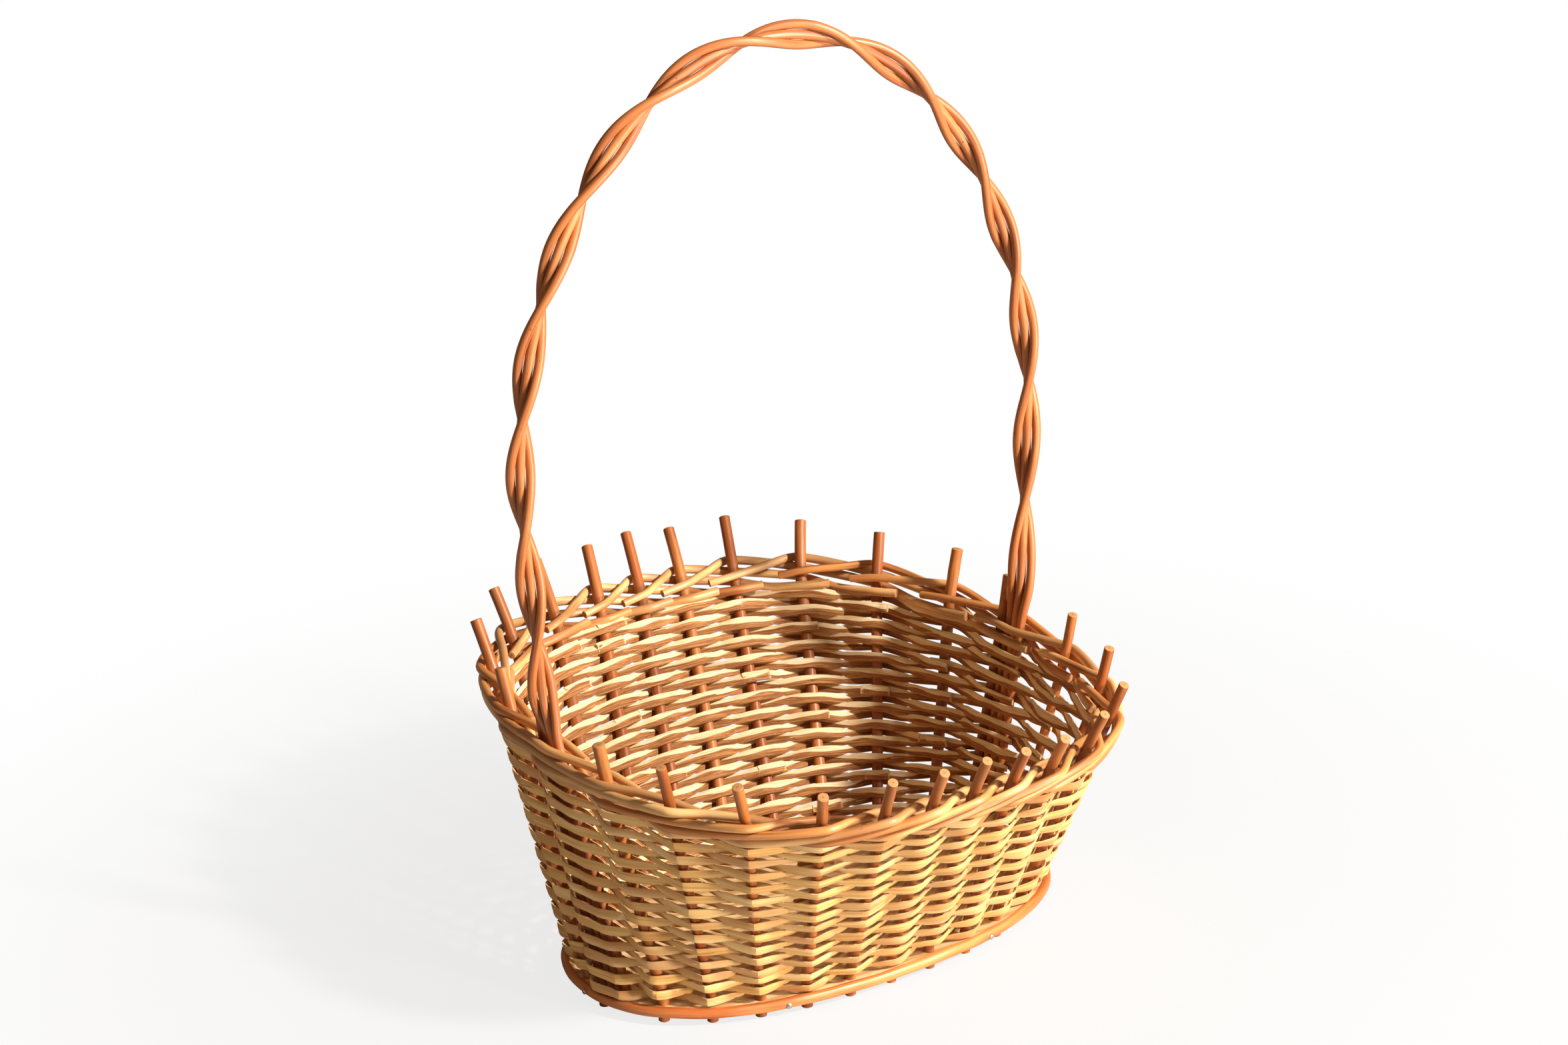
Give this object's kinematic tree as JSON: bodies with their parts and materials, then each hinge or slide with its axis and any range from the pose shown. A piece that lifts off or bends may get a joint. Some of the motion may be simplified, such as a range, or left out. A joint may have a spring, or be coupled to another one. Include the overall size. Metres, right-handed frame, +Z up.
{
  "type": "wicker egg collection basket",
  "caption": "Open wicker basket with flared woven walls, a plaited rim with stake ends standing up, and a tall twisted arch handle.",
  "frame": {"origin": "on the ground under the middle of the rim; the basket stands on the lower ends of its stakes", "axes": "+Z up, X along the handle from end to end, Y across the handle, -Y the front in the picture"},
  "size_m": [0.3477, 0.4198, 0.5441],
  "materials": {
    "board": "raw plywood",
    "hoop": "peeled willow, satin",
    "nail": "bright",
    "stake": "peeled willow, satin",
    "skein": "split willow, matt",
    "border_rod": "peeled willow, satin",
    "handle_rod": "peeled willow, satin"
  },
  "bodies": {
    "root": {"base_board": "board", "base_hoop": "hoop", "border_rods_back": "border_rod", "border_rods_front": "border_rod", "border_rods_left": "border_rod", "border_rods_right": "border_rod", "handle_rod_1": "handle_rod", "handle_rod_2": "handle_rod", "handle_rod_3": "handle_rod", "hoop_nails": "nail", "short_rows_1": "skein", "short_rows_2": "skein", "short_rows_3": "skein", "short_rows_4": "skein", "short_rows_5": "skein", "stake_01": "stake", "stake_02": "stake", "stake_03": "stake", "stake_04": "stake", "stake_05": "stake", "stake_06": "stake", "stake_07": "stake", "stake_08": "stake", "stake_09": "stake", "stake_10": "stake", "stake_11": "stake", "stake_12": "stake", "stake_13": "stake", "stake_14": "stake", "stake_15": "stake", "stake_16": "stake", "stake_17": "stake", "stake_18": "stake", "stake_19": "stake", "stake_20": "stake", "stake_21": "stake", "stake_22": "stake", "stake_23": "stake", "stake_24": "stake", "stake_25": "stake", "stake_26": "stake", "weave_row_01": "skein", "weave_row_02": "skein", "weave_row_03": "skein", "weave_row_04": "skein", "weave_row_05": "skein", "weave_row_06": "skein", "weave_row_07": "skein", "weave_row_08": "skein", "weave_row_09": "skein", "weave_row_10": "skein", "weave_row_11": "skein", "weave_row_12": "skein", "weave_row_13": "skein", "weave_row_14": "skein", "weave_row_15": "skein", "weave_row_16": "skein"}
  },
  "joints": []
}
